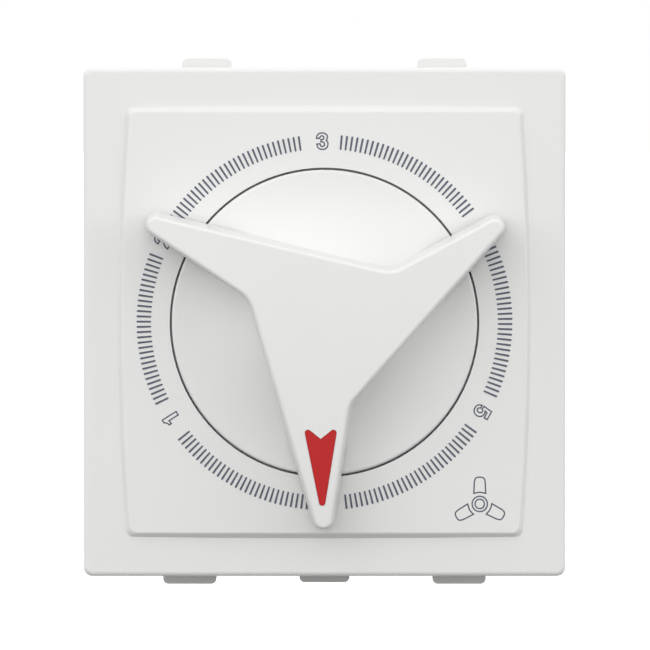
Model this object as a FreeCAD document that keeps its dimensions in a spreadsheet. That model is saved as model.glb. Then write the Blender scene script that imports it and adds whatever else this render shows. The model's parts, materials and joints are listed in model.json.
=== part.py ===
"""Rotary fan speed switch: a two-module plate with a three-armed dial, its switch and its regulator behind.

Millimetres. The front faces -Y, +Z is up, +X is to the right seen from the front. The origin is where the
dial's axis meets the seating plane, the back of the plate's flange. Each driving size is a row of the sheet.
"""
import FreeCAD
import Part
import Sketcher
import math
import os
import re

V = FreeCAD.Vector
doc = FreeCAD.newDocument("fan_speed_switch")
sheet = doc.addObject("Spreadsheet::Sheet", "sizes")

# Driving sizes, in millimetres and degrees
SIZES = {
    # plate
    "plate_width": 45.0,
    "plate_height": 47.5,
    "flange_thick": 2.2,
    "plate_corner": 0.8,
    "plate_edge": 0.45,
    "rim_step": 0.5,
    # raised panel on the plate
    "panel_half_width": 18.0,
    "panel_half_height": 19.55,
    "panel_side_bow": 0.74,
    "panel_end_bow": 0.15,
    "panel_rise": 0.7,
    "panel_wall_run": 0.5,
    "panel_corner": 0.7,
    "panel_edge": 0.2,
    "crown_radius": 850.0,
    # round well of the dial and the web behind it
    "well_radius": 14.45,
    "well_floor": 0.9,
    "web_thick": 1.6,
    "web_margin": 1.5,
    # skirt and hooks of the plate
    "skirt_gap": 0.1,
    "skirt_wall": 1.3,
    "skirt_depth": 6.0,
    "hook_height": 9.0,
    "hook_width": 5.0,
    "hook_start": 3.0,
    "hook_length": 2.2,
    "hook_reach": 1.3,
    "hook_gap": 0.15,
    # housing
    "housing_width": 43.0,
    "housing_height": 41.0,
    "housing_depth": 33.0,
    "housing_wall": 1.5,
    "housing_corner": 1.2,
    "rear_edge": 0.6,
    "bay_height": 11.5,
    "bay_floor": 19.0,
    # mounting clips of the housing; each reach is measured from the housing's wall
    "clip_start": 4.5,
    "clip_length": 11.0,
    "clip_nose": 2.4,
    "clip_thick": 1.3,
    "clip_width": 4.6,
    "clip_tip_thick": 2.2,
    "clip_nose_thick": 1.95,
    "clip_root_rise": 1.55,
    "clip_slit": 0.45,
    "clip_top_place": 11.05,
    "clip_top_reach": 4.0,
    "clip_low_place": 12.65,
    "clip_low_width": 5.0,
    "clip_low_reach": 4.33,
    "clip_mid_width": 4.7,
    "clip_mid_reach": 4.18,
    "clip_corner": 0.5,
    # dial
    "disc_gap": 0.2,
    "disc_proud": 0.15,
    "disc_lift": 0.4,
    "disc_rim": 0.25,
    "scoop_radius": 16.0,
    "scoop_start": 0.45,
    "scoop_top_radius": 4.5,
    "handle_height": 7.0,
    "handle_draft": 3.0,
    "handle_edge": 0.3,
    "arm_lift": 0.45,
    "dome_radius": 190.0,
    "tip_place": 18.15,
    "tip_radius": 1.1,
    "tip_turn": -0.4,
    "corner_round": 2.6,
    "corner_top_place": 8.1,
    "corner_top_turn": 9.7,
    "corner_left_place": 7.6,
    "corner_left_turn": 12.7,
    "corner_low_place": 8.0,
    "corner_low_turn": 19.0,
    "dial_wall": 1.5,
    "dial_roof": 2.5,
    "core_rim": 1.85,
    "hub_radius": 5.0,
    # pointer let into the lower arm
    "pointer_top": 9.75,
    "pointer_length": 7.05,
    "pointer_half_width": 1.46,
    "pointer_notch": 0.95,
    "pointer_ear": 0.28,
    "pointer_shift": -0.35,
    "pointer_tip_shift": 0.14,
    "pointer_depth": 0.8,
    "pointer_gap": 0.03,
    # rotor of the switch
    "shaft_radius": 3.0,
    "shaft_flat": 2.0,
    "shaft_reach": 7.0,
    "shaft_end_gap": 0.3,
    "running_gap": 0.05,
    "shoulder_radius": 5.0,
    "shoulder_start": 1.6,
    "wheel_start": 3.0,
    "wheel_thick": 3.0,
    "wheel_step": 1.8,
    "notch_rise": 1.4,
    "notch_radius": 2.2,
    "carrier_start": 6.6,
    "carrier_thick": 2.0,
    "carrier_gap": 0.2,
    "lug_height": 1.2,
    "lug_gap": 0.4,
    "lug_half_angle": 12.0,
    "pivot_radius": 2.0,
    "pivot_end_gap": 0.2,
    # washer
    "washer_thick": 0.8,
    "washer_width": 2.3,
    # base of the switch
    "cup_radius": 12.6,
    "cup_wall": 1.4,
    "cup_start": 0.8,
    "cup_floor": 9.5,
    "cup_floor_thick": 2.0,
    "stop_half_angle": 17.5,
    "stop_play": 0.5,
    "stop_depth": 0.9,
    "ear_reach": 3.0,
    "ear_turn": 45.0,
    "ear_radius": 2.7,
    "ear_thick": 2.0,
    "boss_radius": 2.4,
    "boss_reach": 2.7,
    "post_radius": 1.8,
    "post_place": 10.4,
    # screws that hold the switch
    "screw_radius": 1.1,
    "screw_hole_gap": 0.05,
    "screw_length": 4.4,
    "screw_end_gap": 0.2,
    "screw_head_radius": 2.1,
    "screw_head_thick": 1.4,
    "screw_slot": 0.6,
    "ear_hole_gap": 0.25,
    # contacts
    "contact_place": 7.0,
    "contact_head_radius": 1.2,
    "contact_head_thick": 0.45,
    "contact_pin_radius": 0.6,
    "contact_fit": 0.03,
    "pin_past_board": 0.5,
    "collector_inner": 2.8,
    "collector_outer": 4.4,
    "wiper_thick": 0.4,
    "wiper_width": 2.6,
    "wiper_tip": 8.2,
    # detent spring
    "leaf_thick": 0.4,
    "leaf_width": 2.4,
    "leaf_end_gap": 0.5,
    "leaf_nose_gap": 0.2,
    "leaf_side_gap": 0.2,
    "leaf_lug_width": 1.6,
    "leaf_lug_drop": 1.1,
    # circuit board and what is on it
    "board_start": 13.0,
    "board_thick": 1.6,
    "board_side_gap": 1.5,
    "board_end_gap": 1.75,
    "board_hole_gap": 0.15,
    "capacitor_lift": 0.8,
    "capacitor_edge": 0.4,
    "capacitor_end_gap": 1.1,
    "large_width": 31.0,
    "large_top_gap": 1.0,
    "small_width": 26.0,
    "small_height": 9.4,
    "small_low_gap": 0.4,
    "small_shorter": 2.0,
    "lead_radius": 0.4,
    "lead_inset": 2.0,
    "resistor_radius": 1.2,
    "resistor_length": 6.5,
    "resistor_room": 4.1,
    "resistor_apart": 8.4,
    "resistor_lift": 0.7,
    "resistor_lead_reach": 2.4,
    # terminals
    "terminal_apart": 18.0,
    "terminal_width": 8.0,
    "terminal_height": 8.5,
    "terminal_depth": 8.0,
    "terminal_inset": 0.5,
    "terminal_edge": 0.4,
    "wire_radius": 1.75,
    "wire_inset": 3.6,
    "clamp_radius": 1.75,
    "clamp_length": 5.8,
    "clamp_point_radius": 1.2,
    "clamp_point_length": 1.3,
    "clamp_head_radius": 3.0,
    "clamp_head_thick": 2.0,
    "clamp_slot": 0.8,
    "clamp_open": 0.1,
    "strap_thick": 0.8,
    "strap_width": 4.0,
    "strap_rise": 2.4,
    "rib_thick": 1.5,
    "rib_set_back": 1.0,
    "terminal_gap": 0.15,
    # clip in the dial's hub
    "hub_clip_thick": 0.3,
    "hub_clip_width": 2.6,
    "hub_clip_length": 4.6,
    "hub_clip_bow": 0.35,
    "hub_clip_gap": 0.02,
    "hub_slot_deep": 0.75,
}

# Places and sizes that follow from the driving ones
PANEL_FACE = "(flange_thick + panel_rise)"
HANDLE_CREST = "(flange_thick + panel_rise + handle_height)"
DIAL_BACK = "(well_floor + disc_lift)"
DISC_RADIUS = "(well_radius - disc_gap)"
CORE_RADIUS = "(well_radius - disc_gap - core_rim)"
HOUSING_X = "(housing_width / 2 - housing_wall)"
HOUSING_Z = "(housing_height / 2 - housing_wall)"
SKIRT_X = "(housing_width / 2 - housing_wall - skirt_gap)"
SKIRT_Z = "(housing_height / 2 - housing_wall - skirt_gap)"
BAY_TOP = "(bay_height - housing_height / 2)"
LUG_RADIUS = "(cup_radius - cup_wall - lug_gap)"
CARRIER_RADIUS = "(cup_radius - cup_wall - lug_gap - lug_height)"
WHEEL_RADIUS = "(cup_radius - cup_wall - lug_gap - lug_height - wheel_step)"
NOTCH_PLACE = "(cup_radius - cup_wall - lug_gap - lug_height - wheel_step + notch_rise)"
CARRIER_BACK = "(carrier_start + carrier_thick)"
CUP_BACK = "(cup_floor + cup_floor_thick)"
EARS = {
    "left": ("-(cup_radius + ear_reach) * cos(ear_turn)", "-(cup_radius + ear_reach) * sin(ear_turn)"),
    "right": ("(cup_radius + ear_reach) * cos(ear_turn)", "(cup_radius + ear_reach) * sin(ear_turn)"),
}
BOARD_BACK = "(board_start + board_thick)"
SMALL_LOW = "(bay_height - housing_height / 2 + housing_wall + small_low_gap)"
SMALL_TOP = "(bay_height - housing_height / 2 + housing_wall + small_low_gap + small_height)"
LARGE_LOW = SMALL_TOP[:-1] + " + resistor_room)"
LARGE_TOP = "(housing_height / 2 - housing_wall - large_top_gap)"
RESISTOR_LEVEL = SMALL_TOP[:-1] + " + resistor_room / 2)"
TERMINAL_LOW = "(terminal_inset - housing_height / 2)"
TERMINALS = {"line": "-terminal_apart / 2", "load": "terminal_apart / 2"}

# How far a cut runs past what it cuts, and how deep a joined piece is sunk in what carries it
PAST = 1.0
SUNK = 0.2

for row, (alias, number) in enumerate(SIZES.items(), start=1):
    sheet.set("A%d" % row, alias)
    sheet.set("B%d" % row, str(number))
    sheet.setAlias("B%d" % row, alias)
doc.recompute()

ALIAS = re.compile(r"\b(" + "|".join(sorted(SIZES, key=len, reverse=True)) + r")\b")


# Reading the sheet
def ex(text):
    """An expression that names cells, such as plate_width / 2, in the form a property takes."""
    return ALIAS.sub(r"sizes.\1", text)


def val(text):
    """The number that such an expression gives."""
    return float(sheet.evalExpression(ex(text)))


# Bodies and sketches
def new_body(label):
    body = doc.addObject("PartDesign::Body", label)
    body.Label = label
    return body


def new_sketch(body, name, role="XZ_Plane", lift=None):
    """A sketch on one of the body's own planes; XZ looks to the front, and lift moves it that way."""
    sketch = body.newObject("Sketcher::SketchObject", name)
    support = [f for f in body.Origin.OriginFeatures if f.Role == role][0]
    sketch.AttachmentSupport = [(support, "")]
    sketch.MapMode = "FlatFace"
    if lift:
        sketch.setExpression("AttachmentOffset.Base.z", ex(lift))
    return sketch


def bind_constraint(sketch, kind, refs, text):
    """A driving dimension of a sketch, tied to the sheet."""
    index = sketch.addConstraint(Sketcher.Constraint(kind, *refs, val(text)))
    sketch.setExpression("Constraints[%d]" % index, ex(text))


def rectangle(sketch, left, right, low, high):
    """A rectangle whose four sides are tied to the sheet."""
    corners = [V(val(x), val(y), 0) for x, y in ((left, low), (right, low), (right, high), (left, high))]
    first = sketch.GeometryCount
    for i in range(4):
        sketch.addGeometry(Part.LineSegment(corners[i], corners[(i + 1) % 4]), False)
    for i in range(4):
        link = Sketcher.Constraint("Coincident", first + i, 2, first + (i + 1) % 4, 1)
        sketch.addConstraint(link)
        sketch.addConstraint(Sketcher.Constraint("Vertical" if i % 2 else "Horizontal", first + i))
    bind_constraint(sketch, "DistanceX", (-1, 1, first, 1), left)
    bind_constraint(sketch, "DistanceY", (-1, 1, first, 1), low)
    bind_constraint(sketch, "DistanceX", (-1, 1, first + 2, 1), right)
    bind_constraint(sketch, "DistanceY", (-1, 1, first + 2, 1), high)


def circle(sketch, x, y, radius):
    """A circle whose centre and radius are tied to the sheet."""
    index = sketch.addGeometry(Part.Circle(V(val(x), val(y), 0), V(0, 0, 1), val(radius)), False)
    bind_constraint(sketch, "Radius", (index,), radius)
    bind_constraint(sketch, "DistanceX", (-1, 1, index, 3), x)
    bind_constraint(sketch, "DistanceY", (-1, 1, index, 3), y)


def outline(sketch, wire):
    """A free outline, drawn from a wire of lines and arcs that lies in the sketch's plane."""
    for edge in wire.Edges:
        curve = edge.Curve
        first, last = edge.ParameterRange
        if isinstance(curve, Part.Circle):
            ends = [edge.valueAt(p) for p in (first, (first + last) / 2, last)]
            sketch.addGeometry(Part.Arc(*ends), False)
        else:
            sketch.addGeometry(Part.LineSegment(edge.valueAt(first), edge.valueAt(last)), False)


def volume(body):
    doc.recompute()
    return 0.0 if body.Shape.isNull() else body.Shape.Volume


def pad(body, sketch, length, back=False, both=False, draft=None):
    """Material from a sketch: towards the front, or back from it, or both ways."""
    feature = body.newObject("PartDesign::Pad", sketch.Name + "_pad")
    feature.Profile = sketch
    feature.setExpression("Length", ex(length))
    feature.Reversed = back
    feature.Midplane = both
    if draft:
        feature.setExpression("TaperAngle", ex(draft))
    doc.recompute()
    return feature


def pocket(body, sketch, length, front=False, both=False):
    """A cut from a sketch: back from it, or towards the front, or both ways. It must take something away."""
    before = volume(body)
    feature = body.newObject("PartDesign::Pocket", sketch.Name + "_pocket")
    feature.Profile = sketch
    feature.setExpression("Length", ex(length))
    feature.Reversed = front
    feature.Midplane = both
    if volume(body) >= before - 1e-6:
        raise RuntimeError("the cut of %s takes nothing away" % sketch.Name)
    return feature


def turned(body, sketch):
    """A full turn of a sketch on XY about the dial's axis."""
    feature = body.newObject("PartDesign::Revolution", sketch.Name + "_turned")
    feature.Profile = sketch
    feature.ReferenceAxis = (sketch, ["V_Axis"])
    feature.Angle = 360.0
    doc.recompute()
    return feature


def dress(body, kind, size, wanted):
    """A fillet or chamfer on each edge of the body's last shape that wanted(edge) picks."""
    doc.recompute()
    base = body.Tip
    names = ["Edge%d" % (i + 1) for i, e in enumerate(base.Shape.Edges) if wanted(e)]
    if not names:
        raise RuntimeError("no edge to dress on " + body.Label)
    feature = body.newObject("PartDesign::" + kind, "%s_%s" % (body.Label, kind.lower()))
    feature.Base = (base, names)
    feature.setExpression("Radius" if kind == "Fillet" else "Size", ex(size))
    doc.recompute()
    return feature


def ring_copies(body, feature, count, angle=360.0):
    """Copies of a feature round the dial's axis."""
    pattern = body.newObject("PartDesign::PolarPattern", feature.Name + "_ring")
    pattern.Originals = [feature]
    axis = [f for f in body.Origin.OriginFeatures if f.Role == "Y_Axis"][0]
    pattern.Axis = (axis, [""])
    pattern.Angle = angle
    pattern.Occurrences = count
    body.Tip = pattern
    doc.recompute()
    return pattern


# Primitives, for the plain pieces
def place(item, x, y, z):
    for axis, text in zip("xyz", (x, y, z)):
        item.setExpression("Placement.Base." + axis, ex(text))


def block(name, x, y, z, length, width, height):
    """A box from its lowest corner."""
    item = doc.addObject("Part::Box", name)
    for prop, text in zip(("Length", "Width", "Height"), (length, width, height)):
        item.setExpression(prop, ex(text))
    place(item, x, y, z)
    return item


def rod(name, x, y, z, radius, length, along="Y"):
    """A round bar from the centre of its first end, along one axis."""
    item = doc.addObject("Part::Cylinder", name)
    item.setExpression("Radius", ex(radius))
    item.setExpression("Height", ex(length))
    ways = {"X": V(1, 0, 0), "Y": V(0, 1, 0), "Z": V(0, 0, 1)}
    item.Placement.Rotation = FreeCAD.Rotation(V(0, 0, 1), ways[along])
    place(item, x, y, z)
    return item


def joined(name, items):
    item = doc.addObject("Part::MultiFuse", name)
    item.Shapes = items
    item.Refine = True
    return item


def minus(name, base, tools):
    item = doc.addObject("Part::Cut", name)
    item.Base = base
    item.Tool = tools[0] if len(tools) == 1 else joined(name + "_tools", tools)
    item.Refine = True
    return item


def group(name, items):
    """Separate solids that share one node."""
    item = doc.addObject("Part::Compound", name)
    item.Links = items
    return item


def polygon(points):
    return Part.makePolygon([V(x, y, 0) for x, y in points + points[:1]])


def polar(radius, degrees):
    return V(radius * math.cos(math.radians(degrees)), radius * math.sin(math.radians(degrees)), 0)


def round_face(radius):
    """A disc about the dial's axis, for cutting outlines to shape."""
    return Part.Face(Part.Wire(Part.makeCircle(radius, V(0, 0, 0))))


def along_y(edge):
    """True of a straight edge that runs front to back."""
    if not isinstance(edge.Curve, (Part.Line, Part.LineSegment)):
        return False
    way = edge.Vertexes[-1].Point - edge.Vertexes[0].Point
    return abs(way.y) > 0.99 * way.Length


# Front plate: flange, crowned panel, well of the dial, skirt with hooks, bosses of the switch
def panel_outline(run):
    """The panel's outline, run wider all round: four bowed sides with rounded corners."""
    wide = val("panel_half_width") + run
    tall = val("panel_half_height") + run
    bow = val("panel_side_bow")
    end = val("panel_end_bow")
    sides = [
        Part.Arc(V(-wide, -tall, 0), V(0, -tall - end, 0), V(wide, -tall, 0)),
        Part.Arc(V(wide, -tall, 0), V(wide + bow, 0, 0), V(wide, tall, 0)),
        Part.Arc(V(wide, tall, 0), V(0, tall + end, 0), V(-wide, tall, 0)),
        Part.Arc(V(-wide, tall, 0), V(-wide - bow, 0, 0), V(-wide, -tall, 0)),
    ]
    wire = Part.Wire([s.toShape() for s in sides])
    corner = val("panel_corner")
    return wire.makeOffset2D(-corner, 2).makeOffset2D(corner, 0)


def make_front_plate():
    plate = new_body("front_plate")
    flange = new_sketch(plate, "flange")
    rectangle(flange, "-plate_width / 2", "plate_width / 2", "-plate_height / 2", "plate_height / 2")
    pad(plate, flange, "flange_thick")
    dress(plate, "Fillet", "plate_corner", along_y)
    front = -val("flange_thick")
    dress(plate, "Fillet", "plate_edge", lambda e: max(abs(v.Point.y - front) for v in e.Vertexes) < 1e-6)
    foot = new_sketch(plate, "panel_foot", lift="flange_thick")
    outline(foot, panel_outline(val("panel_wall_run")))
    top = new_sketch(plate, "panel_top", lift="flange_thick + panel_rise")
    outline(top, panel_outline(0.0))
    panel = plate.newObject("PartDesign::AdditiveLoft", "panel")
    panel.Profile = foot
    panel.Sections = [top]
    panel.Ruled = True
    doc.recompute()
    # the panel's face is a barrel of large radius about an upright axis
    crown = new_sketch(plate, "crown", "XY_Plane")
    face = -val(PANEL_FACE)
    reach = val("plate_width")
    radius = val("crown_radius")
    edge_y = face + radius - math.sqrt(radius ** 2 - reach ** 2)
    arc = Part.Arc(V(-reach, edge_y, 0), V(0, face, 0), V(reach, edge_y, 0)).toShape()
    ahead = face - PAST
    corners = [(reach, edge_y), (reach, ahead), (-reach, ahead), (-reach, edge_y)]
    lid = Part.makePolygon([V(x, y, 0) for x, y in corners])
    outline(crown, Part.Wire([arc] + lid.Edges))
    pocket(plate, crown, "2 * plate_height", both=True)
    half_rise = front - val("panel_rise / 2")
    dress(plate, "Fillet", "panel_edge", lambda e: all(v.Point.y < half_rise for v in e.Vertexes))
    # the back: a shallow seat for the housing's rim, the web of the well, the skirt and the bosses
    seat = new_sketch(plate, "rim_seat")
    rectangle(
        seat,
        "-housing_width / 2 - skirt_gap",
        "housing_width / 2 + skirt_gap",
        "-housing_height / 2 - skirt_gap",
        "housing_height / 2 + skirt_gap",
    )
    pocket(plate, seat, "rim_step", front=True)
    web = new_sketch(plate, "web", lift="rim_step")
    circle(web, "0", "0", "well_radius + web_margin")
    pad(plate, web, "rim_step - well_floor + web_thick", back=True)
    skirt = new_sketch(plate, "skirt", lift="rim_step")
    rectangle(skirt, "-" + SKIRT_X, SKIRT_X, "-" + SKIRT_Z, SKIRT_Z)
    rectangle(
        skirt,
        "skirt_wall - " + SKIRT_X,
        SKIRT_X + " - skirt_wall",
        "skirt_wall - " + SKIRT_Z,
        SKIRT_Z + " - skirt_wall",
    )
    pad(plate, skirt, "rim_step + skirt_depth", back=True)
    for side, sign in (("left", -1), ("right", 1)):
        for level, up in (("low", -1), ("high", 1)):
            hook = new_sketch(plate, "hook_%s_%s" % (side, level), "XY_Plane", "%d * hook_height" % up)
            root = sign * (val(SKIRT_X) - SUNK)
            tip = sign * val(SKIRT_X + " + hook_reach")
            y0 = val("hook_start")
            y1 = val("hook_start + hook_length")
            ramp_end = (sign * val(SKIRT_X + " + hook_reach / 4"), y1)
            outline(hook, polygon([(root, y0), (tip, y0), ramp_end, (root, y1)]))
            pad(plate, hook, "hook_width", both=True)
    bosses = new_sketch(plate, "bosses", lift="rim_step")
    for x, z in EARS.values():
        circle(bosses, x, z, "boss_radius")
    pad(plate, bosses, "rim_step + boss_reach", back=True)
    well = new_sketch(plate, "well", lift="flange_thick + 2 * panel_rise")
    circle(well, "0", "0", "well_radius")
    pocket(plate, well, "flange_thick + 2 * panel_rise - well_floor")
    bore = new_sketch(plate, "shaft_bore", lift="flange_thick")
    circle(bore, "0", "0", "shaft_radius + running_gap")
    pocket(plate, bore, "flange_thick + web_thick")
    pilots = new_sketch(plate, "pilot_holes", lift="-boss_reach")
    for x, z in EARS.values():
        circle(pilots, x, z, "screw_radius + screw_hole_gap")
    pocket(plate, pilots, "screw_length - ear_thick + screw_end_gap", front=True)


# Housing: a box with an open front, a terminal bay low at the back, five clips and four windows
def make_clip(body, name, middle, width, reach, up):
    """One springy clip: a tongue that leaves the wall, runs forward and ends in a nose behind the flange."""
    clip = new_sketch(body, name, "YZ_Plane", middle)
    wall = val("housing_height / 2")
    tip = wall + val(reach)
    start = val("clip_start")
    nose = start + val("clip_nose")
    root = start + val("clip_length")
    slit_end = root - 2 * val("clip_thick")
    sunk = wall - val("housing_wall") / 2
    points = [
        (start, tip),
        (nose, tip),
        (root - val("clip_nose"), wall + val("clip_root_rise")),
        (root, wall),
        (root, sunk),
        (slit_end, sunk),
        (slit_end, wall + val("clip_slit")),
        (nose, tip - val("clip_nose_thick")),
        (start, tip - val("clip_tip_thick")),
    ]
    outline(clip, polygon([(y, up * z) for y, z in points]))
    return pad(body, clip, width, both=True)


def make_housing():
    housing = new_body("rear_housing")
    shell = new_sketch(housing, "shell", lift="rim_step")
    rectangle(shell, "-housing_width / 2", "housing_width / 2", "-housing_height / 2", "housing_height / 2")
    pad(housing, shell, "rim_step + housing_depth", back=True)
    dress(housing, "Fillet", "housing_corner", along_y)
    rear = val("housing_depth")
    dress(housing, "Fillet", "rear_edge", lambda e: all(abs(v.Point.y - rear) < 1e-6 for v in e.Vertexes))
    bay = new_sketch(housing, "bay", lift="-bay_floor")
    rectangle(bay, "-" + HOUSING_X, HOUSING_X, "-housing_height", BAY_TOP)
    pocket(housing, bay, "2 * housing_depth")
    cavity = new_sketch(housing, "cavity", lift="rim_step")
    rectangle(cavity, "-" + HOUSING_X, HOUSING_X, "-" + HOUSING_Z, HOUSING_Z)
    pocket(housing, cavity, "rim_step + bay_floor - housing_wall")
    deep = new_sketch(housing, "deep_cavity")
    rectangle(deep, "-" + HOUSING_X, HOUSING_X, BAY_TOP + " + housing_wall", HOUSING_Z)
    pocket(housing, deep, "housing_depth - housing_wall")
    # ribs beside each terminal
    ribs = new_sketch(housing, "ribs", lift="-(bay_floor - housing_wall / 2)")
    gap = "(terminal_width / 2 + terminal_gap)"
    for middle in TERMINALS.values():
        for side in "-+":
            near = "%s %s %s" % (middle, side, gap)
            far = "%s %s rib_thick" % (near, side)
            left, right = (far, near) if side == "-" else (near, far)
            rectangle(ribs, left, right, "-housing_height / 2", BAY_TOP + " + housing_wall / 2")
    pad(housing, ribs, "housing_depth - bay_floor + housing_wall / 2 - rib_set_back", back=True)
    # slots for the straps, behind the terminals
    slots = new_sketch(housing, "strap_slots", lift="-(bay_floor - 2 * housing_wall)")
    strap_slots(slots, "terminal_gap")
    pocket(housing, slots, "3 * housing_wall")
    # windows for the plate's hooks
    for level, up in (("low", -1), ("high", 1)):
        window = new_sketch(housing, "window_" + level, "XY_Plane", "%d * hook_height" % up)
        y0 = "hook_start - hook_gap"
        y1 = "hook_start + hook_length + hook_gap"
        rectangle(window, "-housing_width", "housing_width", y0, y1)
        pocket(housing, window, "hook_width + 2 * hook_gap", both=True)
    make_clip(housing, "clip_top_left", "-clip_top_place", "clip_width", "clip_top_reach", 1)
    make_clip(housing, "clip_top_right", "clip_top_place", "clip_width", "clip_top_reach", 1)
    make_clip(housing, "clip_low_left", "-clip_low_place", "clip_low_width", "clip_low_reach", -1)
    make_clip(housing, "clip_low_middle", "0", "clip_mid_width", "clip_mid_reach", -1)
    make_clip(housing, "clip_low_right", "clip_low_place", "clip_low_width", "clip_low_reach", -1)
    least = min(val("housing_height / 2 + clip_%s_reach" % level) for level in ("top", "low", "mid")) - 1e-6
    dress(housing, "Fillet", "clip_corner", lambda e: along_y(e) and abs(e.Vertexes[0].Point.z) > least)


def strap_slots(sketch, gap):
    """The two straps' way through a wall or board, with a gap all round."""
    for middle in TERMINALS.values():
        rectangle(
            sketch,
            "%s - strap_width / 2 - %s" % (middle, gap),
            "%s + strap_width / 2 + %s" % (middle, gap),
            "%s + strap_rise - %s" % (TERMINAL_LOW, gap),
            "%s + strap_rise + strap_thick + %s" % (TERMINAL_LOW, gap),
        )


# Dial: a scooped disc and a three-armed handle in one piece
def rounded_corner(before, corner, after, radius):
    """The arc of that radius between two straight runs, with its two ends."""
    back = (before - corner).normalize()
    ahead = (after - corner).normalize()
    half = math.acos(max(-1.0, min(1.0, back.dot(ahead)))) / 2
    run = radius / math.tan(half)
    start = corner + back * run
    end = corner + ahead * run
    centre = corner + (back + ahead).normalize() * (radius / math.sin(half))
    middle = centre + (corner - centre).normalize() * radius
    return start, middle, end


def tangent_point(point, centre, radius, side):
    """Where a line from the point touches the circle, on the left (+1) or right (-1) of its way."""
    way = centre - point
    turn = math.atan2(way.y, way.x) + side * math.asin(radius / way.Length)
    run = math.sqrt(way.Length ** 2 - radius ** 2)
    return point + V(math.cos(turn), math.sin(turn), 0) * run


def handle_outline(shrink=0.0):
    """The handle's foot: three tapered arms with round tips, joined by rounded inner corners."""
    ways = (30.0, 150.0, 270.0)
    tips = [polar(val("tip_place"), way + val("tip_turn")) for way in ways]
    corners = [
        polar(val("corner_%s_place" % n), way + val("corner_%s_turn" % n))
        for n, way in zip(("top", "left", "low"), ways)
    ]
    radius = val("tip_radius")
    runs = []
    for k, tip in enumerate(tips):
        touch_in = tangent_point(corners[k - 1], tip, radius, -1)
        touch_out = tangent_point(corners[k], tip, radius, 1)
        runs.append((touch_in, touch_out))
    edges = []
    last = rounded_corner(runs[2][1], corners[2], runs[0][0], val("corner_round"))[2]
    for k, tip in enumerate(tips):
        touch_in, touch_out = runs[k]
        outward = V(tip.x, tip.y, 0).normalize()
        start, middle, end = rounded_corner(touch_out, corners[k], runs[(k + 1) % 3][0], val("corner_round"))
        edges.append(Part.LineSegment(last, touch_in).toShape())
        edges.append(Part.Arc(touch_in, tip + outward * radius, touch_out).toShape())
        edges.append(Part.LineSegment(touch_out, start).toShape())
        edges.append(Part.Arc(start, middle, end).toShape())
        last = end
    wire = Part.Wire(edges)
    return wire.makeOffset2D(-shrink, 0) if shrink else wire


def pointer_outline(grow=0.0):
    """The pointer: a long dart with two rounded ears and a notch between them."""
    top = -val("pointer_top")
    shift = val("pointer_shift")
    half = val("pointer_half_width")
    ear = val("pointer_ear")
    tip = V(shift + val("pointer_tip_shift"), top - val("pointer_length") + ear, 0)
    left = V(shift - half + ear, top - ear, 0)
    right = V(shift + half - ear, top - ear, 0)
    notch = V(shift, top - val("pointer_notch") - ear, 0)
    core = Part.Face(Part.makePolygon([left, notch, right, tip, left]))
    return core.makeOffset2D(ear + grow, 0).OuterWire


def make_dial():
    dial = new_body("dial")
    back = -val(DIAL_BACK)
    face = -val(PANEL_FACE + " + disc_proud")
    radius = val(DISC_RADIUS)
    start = radius - val("scoop_start")
    scoop = val("scoop_radius")
    rim_round = val("disc_rim")
    inner = val("scoop_top_radius")

    def scoop_rise(r):
        return scoop - math.sqrt(scoop ** 2 - (start - r) ** 2)

    middle = (start + inner) / 2
    high = face - scoop_rise(inner)
    corner = V(radius - rim_round * (1 - math.sqrt(0.5)), face + rim_round * (1 - math.sqrt(0.5)), 0)
    profile = [
        Part.LineSegment(V(0, back, 0), V(radius, back, 0)).toShape(),
        Part.LineSegment(V(radius, back, 0), V(radius, face + rim_round, 0)).toShape(),
        Part.Arc(V(radius, face + rim_round, 0), corner, V(radius - rim_round, face, 0)).toShape(),
        Part.LineSegment(V(radius - rim_round, face, 0), V(start, face, 0)).toShape(),
        Part.Arc(V(start, face, 0), V(middle, face - scoop_rise(middle), 0), V(inner, high, 0)).toShape(),
        Part.LineSegment(V(inner, high, 0), V(0, high, 0)).toShape(),
        Part.LineSegment(V(0, high, 0), V(0, back, 0)).toShape(),
    ]
    disc = new_sketch(dial, "disc", "XY_Plane")
    outline(disc, Part.Wire(profile))
    turned(dial, disc)
    handle = new_sketch(dial, "handle", lift=PANEL_FACE + " + arm_lift")
    outline(handle, handle_outline())
    pad(dial, handle, "handle_height - arm_lift + %g" % PAST, draft="-handle_draft")
    cut_dome(dial, "dome")
    dress(dial, "Fillet", "handle_edge", on_dome)
    # cored from behind, with the hub left standing
    cored = new_sketch(dial, "core", lift=DIAL_BACK)
    hollow = Part.Face(handle_outline(val("dial_wall + handle_height * tan(handle_draft)")))
    hollow = hollow.common(round_face(val(CORE_RADIUS))).cut(round_face(val("hub_radius")))
    for wire in hollow.Wires:
        outline(cored, wire)
    pocket(dial, cored, "%s - dial_roof - %s" % (HANDLE_CREST, DIAL_BACK), front=True)
    # bore for the shaft, with its flat, and the slot of the clip
    bore = new_sketch(dial, "d_bore", lift=DIAL_BACK)
    outline(bore, shaft_section(val("running_gap")))
    pocket(dial, bore, "shaft_reach + shaft_end_gap - " + DIAL_BACK, front=True)
    slot = new_sketch(dial, "clip_slot", lift=DIAL_BACK)
    rectangle(
        slot,
        "-hub_clip_width / 2 - running_gap",
        "hub_clip_width / 2 + running_gap",
        "shaft_flat",
        "shaft_flat + hub_slot_deep",
    )
    pocket(dial, slot, "hub_clip_length + 2 * running_gap", front=True)
    # bed of the pointer
    bed = new_sketch(dial, "pointer_bed", lift="%s + %g" % (HANDLE_CREST, PAST))
    outline(bed, pointer_outline(val("pointer_gap")))
    pocket(dial, bed, "%g + pointer_depth + %f" % (PAST, dome_drop(val("pointer_top + pointer_length / 2"))))


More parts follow.
